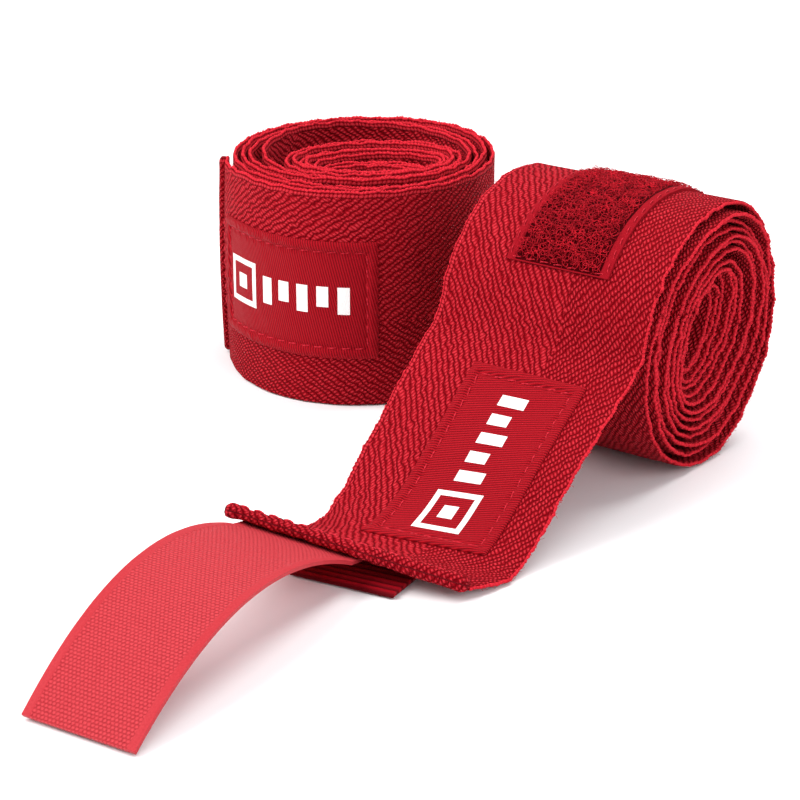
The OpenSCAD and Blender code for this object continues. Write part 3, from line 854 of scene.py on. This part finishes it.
def hem_stitches(name, place, body, nodes, low=0.0):
    """The seam on top of a hem, lower where the hem is thinner."""
    def on_hem(d, w, h):
        return place(np.stack([w, -HEM_SEAM + d, h], -1))
    paths = stitch_run(on_hem, (0, 1.5), (0, BAND_W - 1.5), HEM_HEIGHT - CAD_HALF - 0.3 - low,
                       lean=0.3)
    keep(tubes(name, paths, THREAD_R, THREAD), body, nodes)


hem_stitches("open_hem_seam", from_hem, "open_tail", ["open_hem_stitches"])
hem_stitches("closed_hem_seam", closed_hem_place, "closed_wrap", ["closed_hem_stitches"],
             low=0.75)


# ---- Labels and their print ----

class Label:
    """A label on a band: a folded border, a stitched groove inside it, and a flat middle."""

    def __init__(self, band, d1, w0, seed):
        self.band, self.d0, self.d1, self.w0, self.w1 = band, d1 - LABEL_LEN, d1, w0, w0 + LABEL_W
        self.wave = Wave(seed, 3, 16, 10)

    def top(self, d, w):
        e = np.minimum(np.minimum(d - self.d0, self.d1 - d), np.minimum(w - self.w0, self.w1 - w))
        border = np.clip(e / 0.7, 0, 1) ** 0.5 * np.clip((2.5 - e) / 0.7, 0, 1)
        border *= 1 + 0.35 * self.wave(2.3 * (d + w))
        groove = np.exp(-((e - 2.5) / 0.4) ** 2)
        pucker = np.exp(-((e - 2.6) / 1.2) ** 2) * np.cos(2 * np.pi * (d + w) / 3.0)
        return (BAND_T / 2 + 0.32 + 0.45 * border - 0.28 * groove + 0.08 * pucker
                + 0.05 * self.wave(d + 0.6 * w))

    def make(self, name, body, nodes):
        ds, ws = [bordered(a, b, (0, 0.2, 0.5), 0.8, 0.4)
                  for a, b in ((self.d0, self.d1), (self.w0, self.w1))]
        return keep(cloth(name, self.band.at, ds, ws, BAND_T / 2 - 0.02, self.top, SATIN),
                    body, nodes)

    def seam(self, name, body, nodes):
        def on_label(d, w, h):
            return self.band.at(d, w, self.top(d, w) + h)
        paths = seam_round(on_label, self.d0, self.d1, self.w0, self.w1, 2.45, -0.02)
        keep(tubes(name, paths, 0.17, THREAD), body, nodes)

    def print_mark(self, name, body, nodes):
        """A square frame round a small block, and a row of bars beside it."""
        mid = (self.w0 + self.w1) / 2
        blocks = [(4.6, 5.9, -5.4, 5.4), (14.1, 15.4, -5.4, 5.4), (5.9, 14.1, -5.4, -4.1),
                  (5.9, 14.1, 4.1, 5.4), (8.3, 11.7, -1.7, 1.7)]
        blocks += [(18 + 4.8 * k, 20.7 + 4.8 * k, -3.2, 3.2 if k % 2 == 0 else 1.6)
                   for k in range(5)]
        parts = []
        for k, (s0, s1, a, b) in enumerate(blocks):
            ds, ws = evenly(self.d1 - s1, self.d1 - s0, 0.3), evenly(mid + a, mid + b, 0.3)
            parts.append(cloth(f"{name}_{k}", self.band.at, ds, ws,
                               lambda d, w: self.top(d, w) - 0.03,
                               lambda d, w: self.top(d, w) + 0.06, PRINT))
        keep(joined(name, parts), body, nodes)


def joined(name, objects):
    """One object from several."""
    bpy.ops.object.select_all(action="DESELECT")
    for obj in objects:
        obj.select_set(True)
    bpy.context.view_layer.objects.active = objects[0]
    bpy.ops.object.join()
    objects[0].name = name
    objects[0].data.name = name
    return objects[0]


def tail_d(y):
    """Length along the open band at which the middle of its let-out end passes the place y."""
    r = open_ribbon
    mid_y = (r.left[:, 1] + r.right[:, 1]) / 2
    k = np.where((r.d > roll_end) & (mid_y <= y))[0][0]
    return float(r.d[k])


foot_d = tail_d(OPEN_Y - 74)
open_label = Label(open_band, foot_d + 1.2, LABEL_W0, 61)
closed_label = Label(closed_band, closed_band.length - 15.0, (BAND_W - LABEL_W) / 2, 62)
for side, label, body in (("open", open_label, "open_tail"),
                          ("closed", closed_label, "closed_wrap")):
    label.make(f"{side}_label_cloth", body, [f"{side}_label"])
    label.seam(f"{side}_label_seam", body, [f"{side}_label_stitches"])
    label.print_mark(f"{side}_print", body, [f"{side}_label_emblem"])


# ---- Loop patches ----

def loop_patch(name, band, d1, w0, body, nodes, seed):
    """Loop tape: a flat selvedge on each side, and a bed of curled loops between them."""
    d0, w1 = d1 - PATCH_LEN, w0 + TAPE_W
    wave = Wave(seed, 4, 20, 8)

    def top(d, w):
        e = np.minimum(w - w0, w1 - w)
        side = np.exp(-((e - 1.2) / 0.9) ** 2)
        return BAND_T / 2 + 0.62 + 0.22 * side * (e > 0) + 0.05 * wave(d + 0.8 * w)

    ds, ws = bordered(d0, d1, (0, 0.2), 0.6, 0.6), bordered(w0, w1, (0, 0.2), 0.6, 0.5)
    base = keep(cloth(name, band.at, ds, ws, BAND_T / 2 - 0.02, top, LOOP_TAPE,
                      (-(w0 + w1) / 2, 0)), body, nodes[:1])

    def on_tape(d, w, h):
        return band.at(d, w, top(d, w) + h)
    paths = seam_round(on_tape, d0, d1, w0, w1, 0.7, 0.0)
    keep(tubes(name + "_seam", paths, 0.11, THREAD), body, nodes[1:])

    across = evenly(w0 + 0.1, w1 - 0.1, 0.5)
    ends = [on_tape(np.full(len(across), d), across, -0.1) for d in (d0 + 0.1, d1 - 0.1)]
    side = np.full((2 * len(across) * 5, 2), TAPE_W / 2)
    keep(tubes(name + "_cut_ends", ends, 0.2, LOOP_TAPE, uv=side), body)

    r = np.random.default_rng(seed)
    pitch = 0.72
    n_d, n_w = int((PATCH_LEN - 1.0) / pitch), int((TAPE_W - 2 * PATCH_EDGE) / pitch)
    i, j = np.meshgrid(np.arange(n_d), np.arange(n_w), indexing="ij")
    count = (i.size, 1)
    d_mid = d0 + 0.5 + (i.reshape(count) + 0.5 + r.uniform(-0.5, 0.5, count)) * pitch
    w_mid = w0 + PATCH_EDGE + (j.reshape(count) + 0.5 + r.uniform(-0.5, 0.5, count)) * pitch
    t = np.linspace(0, 1, 9)
    spin = r.uniform(0, 2 * np.pi, count)
    sweep = r.uniform(3.4, 5.6, count) * np.where(r.random(count) < 0.5, -1, 1)
    radius = r.uniform(0.4, 1.1, count)
    tall = r.uniform(0.3, 1.15, count)
    lean_d, lean_w = r.normal(0, 0.3, count), r.normal(0, 0.3, count)
    rise = np.sin(np.pi * t)[None, :] ** 0.7
    d = d_mid + radius * np.cos(spin + sweep * t) + lean_d * rise
    w = w_mid + radius * np.sin(spin + sweep * t) + lean_w * rise
    w = np.clip(w, w0 + PATCH_EDGE - 0.35, w1 - PATCH_EDGE + 0.35)
    h = top(d, w) - 0.12 + (tall + 0.1) * rise
    paths = band.at(d, w, h)
    uv = np.repeat(np.stack([w.ravel(), d.ravel()], -1), 4, 0)
    keep(tubes(name + "_pile", paths, 0.062, PILE, sides=4, uv=uv), body)
    return base


open_patch_d1 = roll_end - 10.5
open_patch = loop_patch("open_patch", open_band, open_patch_d1, TAPE_W0, "open_roll",
                        ["open_loop_patch", "open_loop_patch_stitches"], 71)
closed_patch_d1 = closed_label.d0 - 26
closed_patch = loop_patch("closed_patch", closed_band, closed_patch_d1, (BAND_W - TAPE_W) / 2,
                          "closed_wrap", ["closed_loop_patch", "closed_loop_patch_stitches"], 72)


# ---- Hook strips ----

UNDER_HEM = 30
TAPE_STEP = 0.32
HOOK_PITCH, HOOK_INSET = 1.2, 3.2


def strip_edge(x, end):
    """One edge of the open hook strip: flat under the hem, then an arch down to the surface."""
    under = [from_hem([x, y, STRIP_D]) for y in np.linspace(6, -5.7, UNDER_HEM)]
    first = under.pop()
    f = np.linspace(0, 1, 240)[:, None]
    arch = first * (1 - f) + np.array(end) * f
    arch[:, 2:] += 4 * STRIP_ARCH * f * (1 - f)
    return np.vstack([under, arch])


strip = Ribbon(strip_edge(STRIP_X0, (OPEN_X + 13.5, OPEN_Y - 171.1, 0.5)),
               strip_edge(STRIP_X0 + TAPE_W, (OPEN_X + 38, OPEN_Y - 169.5, 0.5)), TAPE_W)
strip_fold = float(strip.d[UNDER_HEM - 1])
strip_mid = (strip_fold + strip.length) / 2


TAPE_WIDTHS = widths(TAPE_W, (0, 0.15, 0.5, 1.0, 1.5, 1.7, 1.9), 2.2, 0.9)


def hook_tape(name, place, d0, d1, w0, seed, blend, nodes):
    """A length of hook tape from w0 on: a raised flat selvedge on each side, a knotted middle."""
    wave = Wave(seed, 5, 20, 6)

    def over(d, w):
        e = np.minimum(w - w0, w0 + TAPE_W - w)
        step = 1 / (1 + np.exp((e - TAPE_EDGE) / 0.12))
        ribs = 0.015 * np.sin(2 * np.pi * d / 1.3) * (1 - step)
        return HOOK_T / 2 - 0.02 - 0.12 * (1 - step) + ribs + 0.03 * wave(d)
    return keep(cloth(name, place, evenly(d0, d1, TAPE_STEP), w0 + TAPE_WIDTHS, -HOOK_T / 2, over,
                      HOOK_TAPE, (-w0, 0)), blend, nodes)


def hooks(name, place, d0, d1, w0, seed, blend):
    """The small hooks on a hook tape's lower face, each bent one way or the other along it."""
    r = np.random.default_rng(seed)
    ws = w0 + evenly(HOOK_INSET, TAPE_W - HOOK_INSET, HOOK_PITCH)
    d, w = np.meshgrid(evenly(d0, d1, HOOK_PITCH), ws, indexing="ij")
    d, w = d.ravel()[:, None], w.ravel()[:, None]
    t = np.linspace(0, 1, 6)[None, :]
    bend = np.where(r.random(len(d)) < 0.5, -1, 1)[:, None]
    along = 0.32 * np.sin(np.pi * t) * bend
    low = 0.1 - 0.6 * np.sin(np.pi * 0.62 * t)
    paths = place(d + along, w + 0 * t, low - HOOK_T / 2)
    keep(tubes(name, paths, 0.075, HOOK_TAPE, sides=4), blend)


def mid_of(ribbon, d):
    return ribbon.at(np.array([d]), ribbon.width / 2)[0]


def across_axis(axis):
    """The level direction square to a joint's axis, towards the strip's free end."""
    p = np.array([-axis[1], axis[0], 0.0])
    p *= -np.sign(p[1])
    return unit(p)


fold_at, fold_axis = mid_of(strip, strip_fold), (-0.948, -0.272, 0.165)
curl_at, curl_axis = mid_of(strip, strip_mid), (-0.982, -0.171, 0.084)
fold_way, curl_way = across_axis(fold_axis), across_axis(curl_axis)
ROOT_BLEND = ("open_tail", "open_hook_root", metres(fold_at - 1.0 * fold_way),
              metres(fold_at + 4.0 * fold_way))
END_BLEND = ("open_hook_root", "open_hook_end", metres(curl_at - 5.0 * curl_way),
             metres(curl_at + 5.0 * curl_way))
split_d = (strip_fold + strip_mid) / 2

strip_root = hook_tape("open_strip_root", strip.at, 0, split_d, 0.0, 81, ROOT_BLEND,
                       ["open_hook_strip_seam", "open_hook_strip_root"])
strip_end = hook_tape("open_strip_end", strip.at, split_d, strip.length, 0.0, 81, END_BLEND,
                      ["open_hook_strip_end"])
hooks("open_hooks_root", strip.at, strip_fold + 4, split_d - 0.6, 0.0, 83, ROOT_BLEND)
hooks("open_hooks_end", strip.at, split_d + 0.6, strip.length - 7, 0.0, 84, END_BLEND)


def closed_d(i):
    """Length along the closed band at the coil's point i."""
    d = closed_ribbon.d
    return float(np.interp(i * FINE, np.arange(len(d)), d))


last = CLOSED_TURNS * STEPS
under_hem_d = closed_d(last - STEPS)
closed_strip_d0 = closed_d(last - STEPS - 1.1)
closed_strip_d1 = closed_patch_d1 - PATCH_LEN + 23.0
ramp_d0 = closed_patch_d1 - PATCH_LEN - 6.0
ramp_d1 = closed_patch_d1 - PATCH_LEN - 1.0
STRIP_LOW, STRIP_HIGH = 0.9, 2.55


def on_closed_strip(d, w, h):
    """A place on the closed hook strip: low over the band, then up on the loop patch."""
    on_patch = step_up(d, ramp_d0, ramp_d1)
    lift = STRIP_LOW + (STRIP_HIGH - STRIP_LOW) * on_patch + HOOK_T / 2
    return closed_band.at(d, w, lift + h)


closed_w0 = (BAND_W - TAPE_W) / 2
hinge_d = under_hem_d + 1.5
hinge_at = on_closed_strip(np.array([hinge_d]), BAND_W / 2, 0.0)[0]
hinge_next = on_closed_strip(np.array([hinge_d + 4.0]), BAND_W / 2, 0.0)[0]
PEEL_BLEND = ("closed_wrap", "closed_hook", metres(hinge_at), metres(hinge_next))
closed_strip = hook_tape("closed_strip", on_closed_strip, closed_strip_d0, closed_strip_d1,
                         closed_w0, 82, PEEL_BLEND,
                         ["closed_hook_strip_seam", "closed_hook_strip"])
hooks("closed_hooks", on_closed_strip, ramp_d1 + 1, closed_strip_d1 - 1, closed_w0, 85,
      PEEL_BLEND)


def behind_hem(d, w, h):
    return from_hem(np.stack([w, 3.2 + d, h], -1))


def behind_closed_hem(d, w, h):
    return closed_band.at(closed_band.length - 7.0 + d, w, h)


def hook_seam(name, place, w0, body, nodes):
    """The seam that holds a hook tape under the band, which lies from w0 on."""
    paths = stitch_run(place, (0, w0 + 1.0), (0, w0 + TAPE_W - 1.0), BAND_T / 2 - 0.15, lean=0.2)
    keep(tubes(name, paths, THREAD_R, THREAD), body, nodes)


hook_seam("open_hook_seam", behind_hem, STRIP_X0, "open_tail", ["open_hook_stitches"])
hook_seam("closed_hook_seam", behind_closed_hem, closed_w0, "closed_wrap",
          ["closed_hook_stitches"])


# ---- Backing, thumb loops ----

BACKING_AT, BACKING_TURN = (OPEN_X + 14.4, OPEN_Y - 99.1), 8.6


def on_backing(d, w, h):
    """A place on the ribbed tape. d is below 0 behind its front edge."""
    s, c = sin_cos(BACKING_TURN)
    x = BACKING_AT[0] + w * c + d * s
    y = BACKING_AT[1] + w * s - d * c
    return np.stack([x, y, h + 0 * x], -1)


def backing_top(d, w):
    return 0.45 + 0.5 * np.abs(np.sin(np.pi * d / 2.0)) ** 0.8


backing = keep(cloth("open_backing", on_backing, evenly(-BACKING_L, 0, 0.2),
                     evenly(0, BACKING_W, 0.8), 0.04, backing_top, RIBBED_TAPE),
               "open_tail", ["open_hook_backing"])


def thumb_loop(name, centre, lean, to_world, body, nodes):
    """A flat loop of narrow band in the core, and the stitches that hold it."""
    half, r, stitch_end = 4.9, 0.9, 2.9
    a = np.linspace(-90, 90, 16)
    right = np.stack([half + r * np.cos(np.radians(a)), r * np.sin(np.radians(a))], -1)
    xs = evenly(half, -half, 0.6)[1:-1]
    top = np.stack([xs, np.full(len(xs), r)], -1)
    oval = np.vstack([right, top, -right, -top, right[:1]])
    s, c = sin_cos(lean)
    to_plane = np.array([[c, s], [-s, c]])
    plane = (oval + np.array(centre)) @ to_plane
    w0 = (BAND_W - THUMB_W) / 2
    ribbon = Ribbon(to_world(plane, w0), to_world(plane, w0 + THUMB_W), THUMB_W)
    piece = keep(cloth(name, ribbon.at, evenly(0, ribbon.length, 0.4), widths(THUMB_W, step=1.0),
                       -0.4, 0.4, WOVEN), body, nodes[:1])
    line = np.array([[-1.5, r - 0.3], [-1.5, r + 0.2], [-1.2, r + 0.6], [-1.2, stitch_end]])
    line = (line + np.array(centre)) @ to_plane
    paths = [to_world(line, BAND_W / 2 + 3 * k) for k in range(-2, 3)]
    keep(tubes(name + "_seam", paths, 0.2, THREAD), body, nodes[1:])
    return piece


def open_core_place(plane, w):
    return open_points(plane + np.array([OPEN_Y, open_z]), OPEN_X + w)


open_thumb = thumb_loop("open_thumb", (0.4, 0.0), OPEN_LEAN, open_core_place, "open_roll",
                        ["open_thumb_loop", "open_thumb_loop_stitches"])
closed_thumb = thumb_loop("closed_thumb", (3.5, 7.5), 0.0, closed_points, "closed_wrap",
                          ["closed_thumb_loop", "closed_thumb_loop_stitches"])


# ---- Floor, light, camera ----

def paint(name, color, rough):
    """A plain material for the floor."""
    n = Nodes(name, rough, specular=0.2, tint=WHITE_TINT)
    n.shader.inputs["Base Color"].default_value = color
    return n.material


FLOOR_HALF = 4000
floor = add_mesh("floor", [[x * FLOOR_HALF, y * FLOOR_HALF, 0]
                           for x, y in ((-1, -1), (1, -1), (1, 1), (-1, 1))],
                 [[0, 1, 2, 3]], [[0, 0], [1, 0], [1, 1], [0, 1]],
                 paint("floor_white", rgb(0.93, 0.93, 0.935), 0.7))
floor.location.z = -0.0004


def area_light(name, place, aim, size, power, color):
    """A round soft light, in metres and watts, that points at aim."""
    data = bpy.data.lights.new(name, "AREA")
    data.shape = "DISK"
    data.size = size
    data.energy = power
    data.color = color
    light = bpy.data.objects.new(name, data)
    light.location = place
    way = Vector(aim) - Vector(place)
    light.rotation_mode = "QUATERNION"
    light.rotation_quaternion = way.to_track_quat("-Z", "Y")
    bpy.context.scene.collection.objects.link(light)


CENTRE = (0.0, 0.0, 0.03)
area_light("key", (-0.40, -0.37, 0.64), CENTRE, 0.65, 7.3, (1.0, 0.98, 0.97))
area_light("fill", (0.75, -0.25, 0.45), CENTRE, 0.7, 3.2, (0.97, 0.98, 1.0))
area_light("back", (0.12, 0.45, 0.80), CENTRE, 0.5, 5.0, (1.0, 1.0, 1.0))

world = bpy.data.worlds.new("studio")
world.use_nodes = True
background = world.node_tree.nodes["Background"]
background.inputs["Color"].default_value = rgb(0.95, 0.96, 0.98)
background.inputs["Strength"].default_value = 0.58
bpy.context.scene.world = world
bpy.context.scene.view_settings.view_transform = "Standard"

target = np.array([0.0225, 0.0106, 0.020])
azimuth, elevation, distance = math.radians(36.27), math.radians(20.91), 0.497
back = np.array([math.sin(azimuth) * math.cos(elevation),
                 -math.cos(azimuth) * math.cos(elevation), math.sin(elevation)])
camera = bpy.data.objects.new("camera", bpy.data.cameras.new("camera"))
camera.data.lens = 108
camera.data.sensor_width = 36
camera.location = target + back * distance
camera.rotation_mode = "QUATERNION"
camera.rotation_quaternion = Vector(-back).to_track_quat("-Z", "Y")
bpy.context.scene.collection.objects.link(camera)
bpy.context.scene.camera = camera
